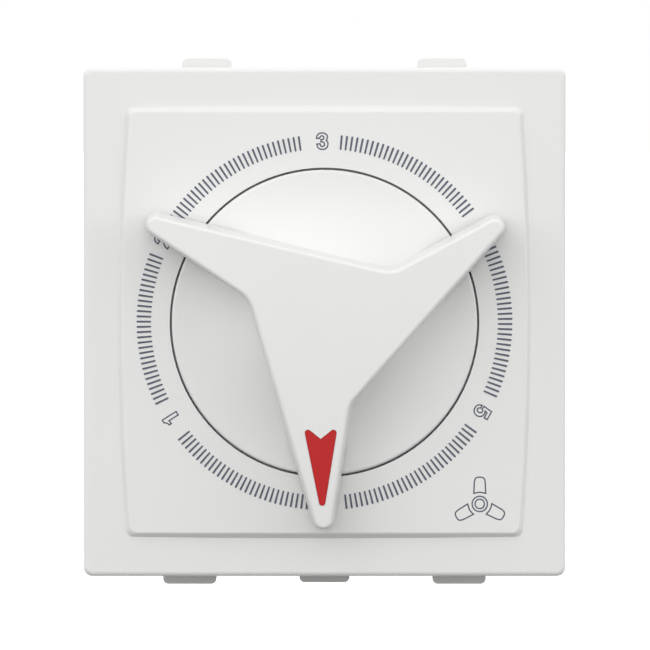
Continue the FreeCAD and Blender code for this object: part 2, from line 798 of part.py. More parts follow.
def dome_drop(radius):
    """How far the handle's dome lies behind its crest at that radius."""
    bulge = val("dome_radius")
    return bulge - math.sqrt(bulge ** 2 - radius ** 2)


def cut_dome(body, name):
    """Takes off what stands in front of the handle's shallow dome, a ball's cap without a pole in it."""
    dome = new_sketch(body, name, "XY_Plane")
    top = -val(HANDLE_CREST)
    centre = top + val("dome_radius")
    reach = val("tip_place + 3 * tip_radius")
    low = top + dome_drop(reach)
    over = top - val("handle_height")
    lid = Part.makePolygon([V(reach, low, 0), V(reach, over, 0), V(-reach, over, 0), V(-reach, low, 0)])
    cap = Part.Arc(V(-reach, low, 0), V(0, top, 0), V(reach, low, 0)).toShape()
    outline(dome, Part.Wire([cap] + lid.Edges))
    dome.addGeometry(Part.LineSegment(V(-reach, centre, 0), V(reach, centre, 0)), True)
    before = volume(body)
    swing = body.newObject("PartDesign::Groove", name + "_swung")
    swing.Profile = dome
    swing.ReferenceAxis = (dome, ["Axis0"])
    swing.Angle = 2 * math.degrees(math.asin(reach / val("dome_radius")))
    swing.Midplane = True
    if volume(body) >= before - 1e-6:
        raise RuntimeError("the dome of %s takes nothing away" % body.Label)


def on_dome(edge):
    """True of an edge all of whose points lie on the handle's domed face."""
    bulge = val("dome_radius")
    centre = V(0, bulge - val(HANDLE_CREST), 0)
    first, last = edge.ParameterRange
    points = [edge.valueAt(first + (last - first) * t / 4) for t in range(5)]
    return all(abs((p - centre).Length - bulge) < 1e-3 for p in points)


def shaft_section(grow):
    """The rotor shaft's section where it has its flat, which faces +Z at rest."""
    radius = val("shaft_radius") + grow
    flat = val("shaft_flat") + grow
    half = math.sqrt(radius ** 2 - flat ** 2)
    arc = Part.Arc(V(-half, flat, 0), V(0, -radius, 0), V(half, flat, 0)).toShape()
    return Part.Wire([arc, Part.LineSegment(V(half, flat, 0), V(-half, flat, 0)).toShape()])


def make_pointer():
    """The red dart, flush with the handle's dome."""
    pointer = new_body("pointer_insert")
    dart = new_sketch(pointer, "dart")
    dart.AttachmentOffset.Base.z = val(HANDLE_CREST + " - pointer_depth") - dome_drop(
        val("pointer_top + pointer_length / 2")
    )
    outline(dart, pointer_outline())
    pad(pointer, dart, "3 * pointer_depth")
    cut_dome(pointer, "dart_dome")


# Rotor: shaft with its flat, shoulder, notched wheel, carrier with the stop lug, rear pivot
def make_rotor():
    rotor = new_body("rotor")
    shaft = new_sketch(rotor, "shaft", lift="-wheel_start")
    circle(shaft, "0", "0", "shaft_radius")
    pad(rotor, shaft, "wheel_start + shaft_reach")
    shoulder = new_sketch(rotor, "shoulder", lift="-wheel_start")
    circle(shoulder, "0", "0", "shoulder_radius")
    pad(rotor, shoulder, "wheel_start - shoulder_start")
    wheel = new_sketch(rotor, "wheel", lift="-wheel_start")
    circle(wheel, "0", "0", WHEEL_RADIUS)
    pad(rotor, wheel, "wheel_thick", back=True)
    notch = new_sketch(rotor, "notch", lift="-wheel_start")
    circle(notch, "0", NOTCH_PLACE, "notch_radius")
    first_notch = pocket(rotor, notch, "wheel_thick")
    ring_copies(rotor, first_notch, 6)
    neck = new_sketch(rotor, "neck", lift="-(wheel_start + wheel_thick)")
    circle(neck, "0", "0", "shoulder_radius")
    pad(rotor, neck, "carrier_start - wheel_start - wheel_thick", back=True)
    carrier = new_sketch(rotor, "carrier", lift="-carrier_start")
    outline(carrier, carrier_outline())
    pad(rotor, carrier, "carrier_thick", back=True)
    pivot = new_sketch(rotor, "pivot", lift="-" + CARRIER_BACK)
    circle(pivot, "0", "0", "pivot_radius")
    pad(rotor, pivot, "%s - %s - pivot_end_gap" % (CUP_BACK, CARRIER_BACK), back=True)
    flat = new_sketch(rotor, "flat", lift=DIAL_BACK)
    rectangle(flat, "-2 * shaft_radius", "2 * shaft_radius", "shaft_flat", "2 * shaft_radius")
    pocket(rotor, flat, "2 * shaft_reach", front=True)


def stop_way():
    """The direction of the base's stop rib, which the lug rests beside at both ends of its turn."""
    return 90.0 + val("stop_half_angle + lug_half_angle + stop_play")


def sector(inner, outer, middle, half_angle):
    """A closed band of a ring, half_angle to each side of a direction."""
    ends = ((inner, -1), (outer, -1), (outer, 1), (inner, 1))
    a, b, c, d = (polar(radius, middle + side * half_angle) for radius, side in ends)
    return Part.Wire(
        [
            Part.LineSegment(a, b).toShape(),
            Part.Arc(b, polar(outer, middle), c).toShape(),
            Part.LineSegment(c, d).toShape(),
            Part.Arc(d, polar(inner, middle), a).toShape(),
        ]
    )


def carrier_outline():
    disc = round_face(val(CARRIER_RADIUS))
    lug = Part.Face(sector(val(CARRIER_RADIUS) / 2, val(LUG_RADIUS), 90.0, val("lug_half_angle")))
    return disc.fuse(lug).removeSplitter().Faces[0].OuterWire


# Base of the switch: a cup with ears, a stop rib, two lugs for the leaf spring and holes for the contacts
def make_switch_base():
    base = new_body("switch_base")
    cup = new_sketch(base, "cup", lift="-cup_start")
    circle(cup, "0", "0", "cup_radius")
    pad(base, cup, CUP_BACK + " - cup_start", back=True)
    ears = new_sketch(base, "ears", lift="-boss_reach")
    outline(ears, ears_outline())
    pad(base, ears, "ear_thick", back=True)
    inside = new_sketch(base, "inside", lift="-cup_start")
    circle(inside, "0", "0", "cup_radius - cup_wall")
    pocket(base, inside, "cup_floor - cup_start")
    stop = new_sketch(base, "stop_rib", lift="-(carrier_start - stop_depth)")
    inner = val(CARRIER_RADIUS + " + carrier_gap")
    outline(stop, sector(inner, val("cup_radius - cup_wall / 2"), stop_way(), val("stop_half_angle")))
    pad(base, stop, "cup_floor - carrier_start + stop_depth + %g" % SUNK, back=True)
    lugs = new_sketch(base, "leaf_lugs", lift="-(wheel_start - leaf_side_gap)")
    for sign in (-1, 1):
        outline(lugs, leaf_lug_outline(sign))
    pad(base, lugs, "wheel_thick + leaf_side_gap", back=True)
    holes = new_sketch(base, "contact_holes", lift="-cup_floor")
    for x, z in contact_places():
        circle(holes, "%.6f" % x, "%.6f" % z, "contact_pin_radius + contact_fit")
    circle(holes, "0", "0", "pivot_radius + running_gap")
    pocket(base, holes, "cup_floor_thick + %g" % PAST)
    ear_holes = new_sketch(base, "ear_holes", lift="-boss_reach")
    for x, z in EARS.values():
        circle(ear_holes, x, z, "screw_radius + ear_hole_gap")
    pocket(base, ear_holes, "ear_thick + %g" % PAST)
    posts = new_sketch(base, "posts", lift="-" + CUP_BACK)
    for way in (0.0, 180.0):
        spot = polar(val("post_place"), way)
        circle(posts, "%.6f" % spot.x, "%.6f" % spot.y, "post_radius")
    pad(base, posts, "board_start - " + CUP_BACK, back=True)


def ears_outline():
    """A slanted bar with round ends that reaches both screw bosses."""
    out = val("cup_radius + ear_reach")
    r = val("ear_radius")
    bar = Part.Wire(
        [
            Part.LineSegment(V(-out, -r, 0), V(out, -r, 0)).toShape(),
            Part.Arc(V(out, -r, 0), V(out + r, 0, 0), V(out, r, 0)).toShape(),
            Part.LineSegment(V(out, r, 0), V(-out, r, 0)).toShape(),
            Part.Arc(V(-out, r, 0), V(-out - r, 0, 0), V(-out, -r, 0)).toShape(),
        ]
    )
    bar.rotate(V(0, 0, 0), V(0, 0, 1), val("ear_turn"))
    return bar


def leaf_half_span():
    """Half the leaf's length: to a gap short of the cup's wall, at the leaf's level."""
    return math.sqrt(val("cup_radius - cup_wall") ** 2 - val(NOTCH_PLACE) ** 2) - val("leaf_end_gap")


def leaf_lug_outline(sign):
    """A lug inside the cup's wall, with a slot that holds one end of the leaf."""
    far = leaf_half_span()
    near = far - val("leaf_lug_width")
    level = val(NOTCH_PLACE)
    outside = val("cup_radius")
    half_slot = val("leaf_thick / 2 + running_gap")
    slot_end = far + val("2 * running_gap")
    body = upright_box(sign * near, sign * outside, level - val("leaf_lug_drop"), outside)
    slot = upright_box(sign * (near - PAST), sign * slot_end, level - half_slot, level + half_slot)
    wall = round_face(val("cup_radius - cup_wall / 2"))
    return body.cut(slot).common(wall).Faces[0].OuterWire


def upright_box(x0, x1, low, high):
    """The face of a rectangle between two sides and two levels."""
    return Part.Face(polygon([(x0, low), (x1, low), (x1, high), (x0, high)]))


def contact_places():
    """Off and the five speeds, sixty degrees apart, and the collector's own pin last."""
    spots = [polar(val("contact_place"), 270.0 - 60.0 * k) for k in range(6)]
    spots.append(polar((val("collector_inner") + val("collector_outer")) / 2, 60.0))
    return [(s.x, s.y) for s in spots]


def make_contacts():
    """Six rivets with long tails through the board, and the collector ring with its own tail."""
    tail = BOARD_BACK + " + pin_past_board - cup_floor"
    rivets = []
    places = contact_places()
    for k, (x, z) in enumerate(places[:6]):
        spot = ("%.6f" % x, "%.6f" % z)
        head = rod("contact_head_%d" % k, spot[0], "cup_floor - contact_head_thick", spot[1],
                   "contact_head_radius", "contact_head_thick")
        pin = rod("contact_tail_%d" % k, spot[0], "cup_floor", spot[1], "contact_pin_radius", tail)
        rivets.append(joined("contact_%d" % k, [head, pin]))
    group("speed_contacts", rivets)
    x, z = places[6]
    head_start = "cup_floor - contact_head_thick"
    outer = rod("collector_disc", "0", head_start, "0", "collector_outer", "contact_head_thick")
    inner = rod("collector_hole", "0", CARRIER_BACK, "0", "collector_inner", "cup_floor_thick")
    ring = minus("collector_flat", outer, [inner])
    pin = rod("collector_tail", "%.6f" % x, "cup_floor", "%.6f" % z, "contact_pin_radius", tail)
    joined("collector_ring", [ring, pin])


def make_wiper():
    """The moving contact: a ring on the collector and a finger that reaches the rivets."""
    wiper = new_body("wiper_contact")
    flat = new_sketch(wiper, "wiper_flat", lift="-" + CARRIER_BACK)
    half = val("wiper_width") / 2
    tip = val("wiper_tip")
    ring = round_face(val("collector_outer"))
    points = [(-half, 0), (-half, half - tip), (0, -tip), (half, half - tip), (half, 0)]
    finger = Part.Face(polygon(points))
    outline(flat, ring.fuse(finger).removeSplitter().Faces[0].OuterWire)
    circle(flat, "0", "0", "pivot_radius + running_gap")
    pad(wiper, flat, "wiper_thick", back=True)


def make_leaf():
    """The detent leaf: a straight strip with a round nose that rests in the wheel's top notch."""
    leaf = new_body("detent_spring")
    strip = new_sketch(leaf, "strip", lift="-(wheel_start + leaf_side_gap / 2)")
    level = val(NOTCH_PLACE)
    half = val("leaf_thick") / 2
    span = leaf_half_span()
    outer = val("notch_radius - leaf_nose_gap")
    inner = outer - val("leaf_thick")
    out_x = math.sqrt(outer ** 2 - half ** 2)
    in_x = math.sqrt(inner ** 2 - half ** 2)
    edges = [
        Part.LineSegment(V(-span, level - half, 0), V(-out_x, level - half, 0)).toShape(),
        Part.Arc(V(-out_x, level - half, 0), V(0, level - outer, 0), V(out_x, level - half, 0)).toShape(),
        Part.LineSegment(V(out_x, level - half, 0), V(span, level - half, 0)).toShape(),
        Part.LineSegment(V(span, level - half, 0), V(span, level + half, 0)).toShape(),
        Part.LineSegment(V(span, level + half, 0), V(in_x, level + half, 0)).toShape(),
        Part.LineSegment(V(in_x, level + half, 0), V(in_x, level - half, 0)).toShape(),
        Part.Arc(V(in_x, level - half, 0), V(0, level - inner, 0), V(-in_x, level - half, 0)).toShape(),
        Part.LineSegment(V(-in_x, level - half, 0), V(-in_x, level + half, 0)).toShape(),
        Part.LineSegment(V(-in_x, level + half, 0), V(-span, level + half, 0)).toShape(),
        Part.LineSegment(V(-span, level + half, 0), V(-span, level - half, 0)).toShape(),
    ]
    outline(strip, Part.Wire(edges))
    pad(leaf, strip, "leaf_width", back=True)


def make_hub_clip():
    """A bowed steel strip between the shaft's flat and the hub, which keeps the dial on."""
    clip = new_body("hub_clip")
    side = new_sketch(clip, "bow", "YZ_Plane")
    start = -val(DIAL_BACK)
    length = val("hub_clip_length")
    thick = val("hub_clip_thick")
    low = val("shaft_flat + hub_clip_gap")
    rise = val("hub_clip_bow")
    middle = start - length / 2
    end = start - length
    high = low + thick
    edges = [
        Part.Arc(V(start, low, 0), V(middle, low + rise, 0), V(end, low, 0)).toShape(),
        Part.LineSegment(V(end, low, 0), V(end, high, 0)).toShape(),
        Part.Arc(V(end, high, 0), V(middle, high + rise, 0), V(start, high, 0)).toShape(),
        Part.LineSegment(V(start, high, 0), V(start, low, 0)).toShape(),
    ]
    outline(side, Part.Wire(edges))
    pad(clip, side, "hub_clip_width", both=True)


def make_washer():
    web_back = "web_thick - well_floor"
    disc = rod("washer_disc", "0", web_back, "0", "shaft_radius + washer_width", "washer_thick")
    hole = rod("washer_hole", "0", "0", "0", "shaft_radius + 2 * running_gap", "web_thick + washer_thick")
    minus("shaft_washer", disc, [hole])


def make_switch_screws():
    screws = []
    seat = "boss_reach + ear_thick"
    for side, (x, z) in EARS.items():
        shank = rod("screw_shank_" + side, x, seat + " - screw_length", z, "screw_radius", "screw_length")
        head = rod("screw_head_" + side, x, seat, z, "screw_head_radius", "screw_head_thick")
        whole = joined("screw_body_" + side, [shank, head])
        cut = block(
            "screw_slot_" + side,
            x + " - screw_slot / 2",
            seat + " + screw_head_thick / 2",
            z + " - 2 * screw_head_radius",
            "screw_slot",
            "screw_head_thick",
            "4 * screw_head_radius",
        )
        screws.append(minus("switch_screw_" + side, whole, [cut]))
    group("switch_screws", screws)


# Circuit board and the components behind it
def make_board():
    board = new_body("circuit_board")
    sheet_face = new_sketch(board, "board_face", lift="-board_start")
    half_x = HOUSING_X + " - board_side_gap"
    half_z = HOUSING_Z + " - board_end_gap"
    rectangle(sheet_face, "-(%s)" % half_x, half_x, "-(%s)" % half_z, half_z)
    pad(board, sheet_face, "board_thick", back=True)
    holes = new_sketch(board, "board_holes", lift="-board_start")
    for x, z in contact_places():
        circle(holes, "%.6f" % x, "%.6f" % z, "contact_pin_radius + board_hole_gap")
    for x, z in lead_places():
        circle(holes, x, z, "lead_radius + board_hole_gap")
    pocket(board, holes, "board_thick + %g" % PAST)
    slots = new_sketch(board, "board_slots", lift="-board_start")
    strap_slots(slots, "board_hole_gap")
    pocket(board, slots, "board_thick + %g" % PAST)


# Each capacitor with its lower and upper level and how much shorter it is than the room behind the board
CAPACITORS = (("large", LARGE_LOW, LARGE_TOP, "0"), ("small", SMALL_LOW, SMALL_TOP, "small_shorter"))


def capacitor_leads(size, low, high):
    level = "(%s + %s) / 2" % (low, high)
    return [("%d * (%s_width / 2 - lead_inset)" % (sign, size), level) for sign in (-1, 1)]


def resistor_leads(sign):
    middle = "%d * resistor_apart" % sign
    reach = "(resistor_length / 2 + resistor_lead_reach)"
    return [("%s %s %s" % (middle, way, reach), RESISTOR_LEVEL) for way in ("-", "+")]


def lead_places():
    places = []
    for size, low, high, shorter in CAPACITORS:
        places += capacitor_leads(size, low, high)
    for sign in (-1, 1):
        places += resistor_leads(sign)
    return places


def make_capacitors():
    """Two film capacitors in moulded boxes, each with two leads through the board."""
    seat = BOARD_BACK + " + capacitor_lift"
    room = "housing_depth - housing_wall - capacitor_end_gap - (%s)" % seat
    for size, low, high, shorter in CAPACITORS:
        case = new_body("capacitor_%s_case" % size)
        face = new_sketch(case, "case_%s" % size, lift="-(%s)" % seat)
        rectangle(face, "-%s_width / 2" % size, "%s_width / 2" % size, low, high)
        pad(case, face, "%s - %s" % (room, shorter), back=True)
        dress(case, "Fillet", "capacitor_edge", along_y)
        items = [case]
        for k, (x, z) in enumerate(capacitor_leads(size, low, high)):
            items.append(
                rod("%s_lead_%d" % (size, k), x, "board_start - pin_past_board", z, "lead_radius",
                    "board_thick + pin_past_board + capacitor_lift + %g" % SUNK)
            )
        joined("capacitor_" + size, items)


def make_resistors():
    """Two small axial resistors with their leads bent down through the board."""
    centre = BOARD_BACK + " + resistor_lift + resistor_radius"
    for name, sign in (("discharge_resistor", -1), ("surge_resistor", 1)):
        middle = "%d * resistor_apart" % sign
        reach = "(resistor_length / 2 + resistor_lead_reach)"
        start = "%s - resistor_length / 2" % middle
        lead_start = "%s - %s" % (middle, reach)
        items = [
            rod(name + "_bar", start, centre, RESISTOR_LEVEL, "resistor_radius", "resistor_length", "X"),
            rod(name + "_wire", lead_start, centre, RESISTOR_LEVEL, "lead_radius", "2 * " + reach, "X"),
        ]
        for k, (x, z) in enumerate(resistor_leads(sign)):
            items.append(
                rod("%s_leg_%d" % (name, k), x, "board_start - pin_past_board", z, "lead_radius",
                    "board_thick + pin_past_board + resistor_lift + resistor_radius")
            )
        joined(name, items)


# Terminals: a brass block, a clamp screw and a strap to the board, twice
def make_terminals():
    block_start = "bay_floor + strap_thick"
    low = TERMINAL_LOW
    for name, middle in TERMINALS.items():
        body = new_body("terminal_" + name)
        face = new_sketch(body, "face_" + name, lift="-(%s)" % block_start)
        rectangle(
            face,
            "%s - terminal_width / 2" % middle,
            "%s + terminal_width / 2" % middle,
            low,
            "%s + terminal_height" % low,
        )
        pad(body, face, "terminal_depth", back=True)
        dress(body, "Chamfer", "terminal_edge", along_y)
        wire_way = new_sketch(body, "wire_way_" + name, "XY_Plane", "%s - %g" % (low, PAST))
        circle(wire_way, middle, "%s + wire_inset" % block_start, "wire_radius")
        pocket(body, wire_way, "terminal_height + 2 * %g" % PAST, front=True)
        thread = new_sketch(body, "thread_" + name, lift="-(%s + terminal_depth)" % block_start)
        circle(thread, middle, "%s + terminal_height / 2" % low, "clamp_radius + running_gap")
        pocket(body, thread, "terminal_depth - wire_inset", front=True)
        # the screw stands backed out, with the wire's way open
        tip = "%s + wire_inset + wire_radius + clamp_open" % block_start
        level = "%s + terminal_height / 2" % low
        point = rod("clamp_point_" + name, middle, tip, level, "clamp_point_radius", "clamp_length")
        shank = rod("clamp_shank_" + name, middle, tip + " + clamp_point_length", level, "clamp_radius",
                    "clamp_length - clamp_point_length")
        head_start = "%s + clamp_length" % tip
        head = rod("clamp_head_" + name, middle, head_start, level, "clamp_head_radius", "clamp_head_thick")
        whole = joined("clamp_whole_" + name, [point, shank, head])
        slot = block(
            "clamp_slot_" + name,
            "%s - clamp_slot / 2" % middle,
            "%s + clamp_length + clamp_head_thick - clamp_slot" % tip,
            "%s - 2 * clamp_head_radius" % level,
            "clamp_slot",
            "2 * clamp_slot",
            "4 * clamp_head_radius",
        )
        minus("terminal_screw_" + name, whole, [slot])
        # the strap lies between the block and the bay's floor, and its tongue goes through to the board
        plate = block(
            "strap_plate_" + name,
            "%s - terminal_width / 2 + terminal_edge" % middle,
            "bay_floor",
            low,
            "terminal_width - 2 * terminal_edge",
            "strap_thick",
            "terminal_height",
        )
        tongue = block(
            "strap_tongue_" + name,
            "%s - strap_width / 2" % middle,
            "board_start - pin_past_board",
            "%s + strap_rise" % low,
            "strap_width",
            "bay_floor - board_start + pin_past_board + strap_thick / 2",
            "strap_thick",
        )
        joined("strap_" + name, [plate, tongue])


make_front_plate()
make_housing()
make_dial()
make_pointer()
make_rotor()
make_switch_base()
make_contacts()
make_wiper()
make_leaf()
make_hub_clip()
make_washer()
make_switch_screws()
make_board()
make_capacitors()
make_resistors()
make_terminals()

NODES = (
    "front_plate",
    "rear_housing",
    "dial",
    "pointer_insert",
    "hub_clip",
    "rotor",
    "wiper_contact",
    "switch_base",
    "speed_contacts",
    "collector_ring",
    "detent_spring",
    "shaft_washer",
    "switch_screws",
    "circuit_board",
    "capacitor_large",
    "capacitor_small",
    "discharge_resistor",
    "surge_resistor",
    "terminal_line",
    "terminal_load",
    "terminal_screw_line",
    "terminal_screw_load",
    "strap_line",
    "strap_load",
)

# Check every object, then write each sub-part
doc.recompute()
failed = [o.Name for o in doc.Objects if {"Invalid", "Error"} & set(o.State)]
if failed:
    raise RuntimeError("failed objects: " + ", ".join(failed))
shapes = {}
for node in NODES:
    item = doc.getObjectsByLabel(node)[0]
    shape = item.Shape
    if shape.isNull() or not shape.isValid() or not shape.Solids:
        raise RuntimeError("bad shape: " + node)
    shapes[node] = shape
os.makedirs("parts", exist_ok=True)
for node, shape in shapes.items():
    shape.exportStep(os.path.join("parts", node + ".step"))
    print("%-22s %2d solids %9.2f mm3" % (node, len(shape.Solids), shape.Volume))
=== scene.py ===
import json
import math

import bmesh
import bpy
from mathutils import Matrix, Vector


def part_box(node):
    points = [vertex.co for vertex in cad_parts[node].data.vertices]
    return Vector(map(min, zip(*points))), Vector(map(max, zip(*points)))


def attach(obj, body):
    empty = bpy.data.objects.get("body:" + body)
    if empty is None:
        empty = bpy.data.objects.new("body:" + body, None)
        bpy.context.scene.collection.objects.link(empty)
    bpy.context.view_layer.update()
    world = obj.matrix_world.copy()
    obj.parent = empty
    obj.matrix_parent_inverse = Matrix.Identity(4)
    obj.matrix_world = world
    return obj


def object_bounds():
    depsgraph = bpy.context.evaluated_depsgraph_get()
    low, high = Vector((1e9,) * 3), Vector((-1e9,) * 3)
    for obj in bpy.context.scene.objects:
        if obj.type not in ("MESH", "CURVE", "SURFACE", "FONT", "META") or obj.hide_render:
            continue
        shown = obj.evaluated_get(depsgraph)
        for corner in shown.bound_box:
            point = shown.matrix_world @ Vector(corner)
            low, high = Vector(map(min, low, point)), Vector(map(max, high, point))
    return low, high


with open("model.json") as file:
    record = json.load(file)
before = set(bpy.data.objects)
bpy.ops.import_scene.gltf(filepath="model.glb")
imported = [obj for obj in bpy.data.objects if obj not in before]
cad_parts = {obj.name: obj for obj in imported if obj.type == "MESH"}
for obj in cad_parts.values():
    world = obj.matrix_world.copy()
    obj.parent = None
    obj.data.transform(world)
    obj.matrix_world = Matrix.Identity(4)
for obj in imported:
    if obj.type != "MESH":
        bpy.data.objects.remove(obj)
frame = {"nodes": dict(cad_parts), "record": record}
cad_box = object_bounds()

bl_info = {
    "name": "Fan speed switch",
    "version": (1, 0, 0),
    "blender": (4, 5, 0),
    "location": "3D View > Sidebar > Fan switch",
    "description": "Print, finishes and stage for a two-module rotary fan speed switch",
    "category": "Object",
}

MM = 0.001
FIXED_BODY = "plate_and_housing"
PANEL_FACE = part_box("front_plate")[0].y
LOWEST = cad_box[0].z

# Outlines of the numbers, one or two closed lines each: across and up in number heights, 1 for a corner
NUMBER_LINES = {
    "0": (
        ((0, 1, 0), (0.24, 0.9, 0), (0.335, 0.5, 0), (0.24, 0.1, 0),
         (0, 0, 0), (-0.24, 0.1, 0), (-0.335, 0.5, 0), (-0.24, 0.9, 0)),
        ((0, 0.82, 0), (0.1, 0.72, 0), (0.135, 0.5, 0), (0.1, 0.28, 0),
         (0, 0.18, 0), (-0.1, 0.28, 0), (-0.135, 0.5, 0), (-0.1, 0.72, 0)),
    ),
    "1": (
        ((-0.006, 0, 1), (-0.006, 0.667, 1), (-0.23, 0.64, 1), (-0.235, 0.79, 1), (-0.12, 0.82, 0),
         (-0.02, 0.9, 0), (0.05, 1, 1), (0.241, 1, 1), (0.241, 0, 1)),
    ),
    "2": (
        ((-0.335, 0.66, 1), (-0.3, 0.84, 0), (-0.18, 0.965, 0), (0, 1, 0), (0.2, 0.955, 0),
         (0.32, 0.82, 0), (0.33, 0.68, 0), (0.27, 0.54, 0), (0.13, 0.4, 0), (0, 0.28, 0), (-0.04, 0.2, 1),
         (0.335, 0.2, 1), (0.335, 0, 1), (-0.345, 0, 1), (-0.32, 0.15, 0), (-0.2, 0.32, 0),
         (0, 0.48, 0), (0.11, 0.6, 0), (0.13, 0.7, 0), (0.09, 0.79, 0), (0, 0.82, 0), (-0.1, 0.78, 0),
         (-0.14, 0.66, 1)),
    ),
    "3": (
        ((-0.343, 0.672, 1), (-0.315, 0.82, 0), (-0.2, 0.955, 0), (-0.01, 1, 0), (0.19, 0.95, 0),
         (0.305, 0.83, 0), (0.31, 0.69, 0), (0.235, 0.545, 1), (0.33, 0.43, 0), (0.345, 0.28, 0),
         (0.25, 0.08, 0), (0, 0, 0), (-0.23, 0.075, 0), (-0.343, 0.323, 1), (-0.143, 0.345, 1),
         (-0.087, 0.21, 0), (0.02, 0.174, 0), (0.115, 0.23, 0), (0.14, 0.33, 0), (0.07, 0.438, 0),
         (-0.079, 0.46, 1), (-0.079, 0.591, 1), (0.06, 0.63, 0), (0.1, 0.728, 0), (0.01, 0.821, 0),
         (-0.113, 0.78, 0), (-0.151, 0.672, 1)),
    ),
    "4": (
        ((0.03, 1, 1), (0.22, 1, 1), (0.22, 0.375, 1), (0.345, 0.375, 1), (0.345, 0.2, 1), (0.22, 0.2, 1),
         (0.22, 0, 1), (0.02, 0, 1), (0.02, 0.2, 1), (-0.345, 0.2, 1), (-0.345, 0.39, 1)),
        ((0.02, 0.375, 1), (0.02, 0.74, 1), (-0.19, 0.375, 1)),
    ),
    "5": (
        ((-0.293, 1, 1), (0.259, 1, 1), (0.259, 0.8, 1), (-0.1, 0.79, 1), (-0.133, 0.64, 1),
         (0.04, 0.685, 0), (0.25, 0.6, 0), (0.355, 0.35, 0), (0.25, 0.1, 0), (0, 0, 0),
         (-0.24, 0.075, 0), (-0.354, 0.3, 1), (-0.167, 0.315, 1), (-0.1, 0.205, 0), (-0.01, 0.17, 0),
         (0.09, 0.23, 0), (0.125, 0.355, 0), (0.06, 0.48, 0), (-0.06, 0.5, 0), (-0.159, 0.42, 1),
         (-0.354, 0.44, 1)),
    ),
}
# Degrees clockwise: from click to click, each number's step from its click, and the middles of the
# rows of ticks from straight down
SPEED_STEP = 60
NUMBER_TURNS = {"0": -1.5, "1": -2.3, "2": -3.0, "3": -0.7, "4": -0.8, "5": -0.4}
ROW_MIDDLES = (27.5, 87.8, 148.5, 208.9, 269.7, 329.6)
# Sides of the small circle whose halves end a tick
TICK_SIDES = 12
# Lines of the fan symbol, as the numbers' lines: an upright blade in millimetres, a ring of radius 1,
# and the blades' turns in degrees
BLADE_LINE = (
    (-0.555, 0.985, 1), (-0.525, 1.6, 0), (-0.475, 2.18, 0), (-0.36, 2.42, 0), (0, 2.5, 0),
    (0.36, 2.42, 0), (0.475, 2.18, 0), (0.525, 1.6, 0), (0.555, 0.985, 1), (0, 1.09, 0))
RING_LINE = ((0, 1, 0), (1, 0, 0), (0, -1, 0), (-1, 0, 0))
BLADE_TURNS = (0, -118, -240.5)

# Blender's resolution of a bead's round and of a line from point to point
BEAD_DETAIL = 1
LINE_DETAIL = 5

# In the finishes a pitch and a depth are in millimetres, shades are shares of the colour, and an
# uneven number says how far a pattern changes the roughness
CLOUD_PITCH = 9.0
CLOUD_SHADES = (0.985, 1.012)
FLOW_PITCH = 2.5
FLOW_STRETCH = (0.5, 1.0, 2.0)
FLOW_UNEVEN = 0.02
WAVE_PITCH = 6.0
WAVE_DEPTH = 0.0012
# The ink's
INK_PITCH = 0.25
INK_SHADES = (0.9, 1.15)
INK_ROUGHNESS = 0.5
INK_UNEVEN = 0.12
INK_GLOSS = 0.35
# The metals'
LINES_PITCH = 0.12
LINES_UNEVEN = 0.16
TARNISH_PITCH = 2.2
TARNISH_UNEVEN = 0.08
# The plain bodies'
BODY_UNEVEN = 0.12
SKIN_SHARE = 0.2

# Places of the two colours and the result on a Mix node
MIX_FIRST, MIX_SECOND, MIX_RESULT = 6, 7, 2

# The floor's grey and its glow to the eye, near the switch and far off, and where one becomes the other
FLOOR_GREYS = (0.27, 0.3)
FLOOR_GLOW_NEAR = 0.72
FLOOR_FADE = (0.09, 0.28)
# Each light's place and the length of its sides in metres, and the setting that holds its power
LIGHTS = {
    "key_light": ((-0.3, -1.2, 0.4), 1.1, "key_power"),
    "left_light": ((-0.95, -0.5, 0.0), 0.8, "left_power"),
    "right_light": ((0.95, -0.5, 0.0), 0.8, "right_power"),
}
# Width of the camera's sensor in millimetres
SENSOR_WIDTH = 36


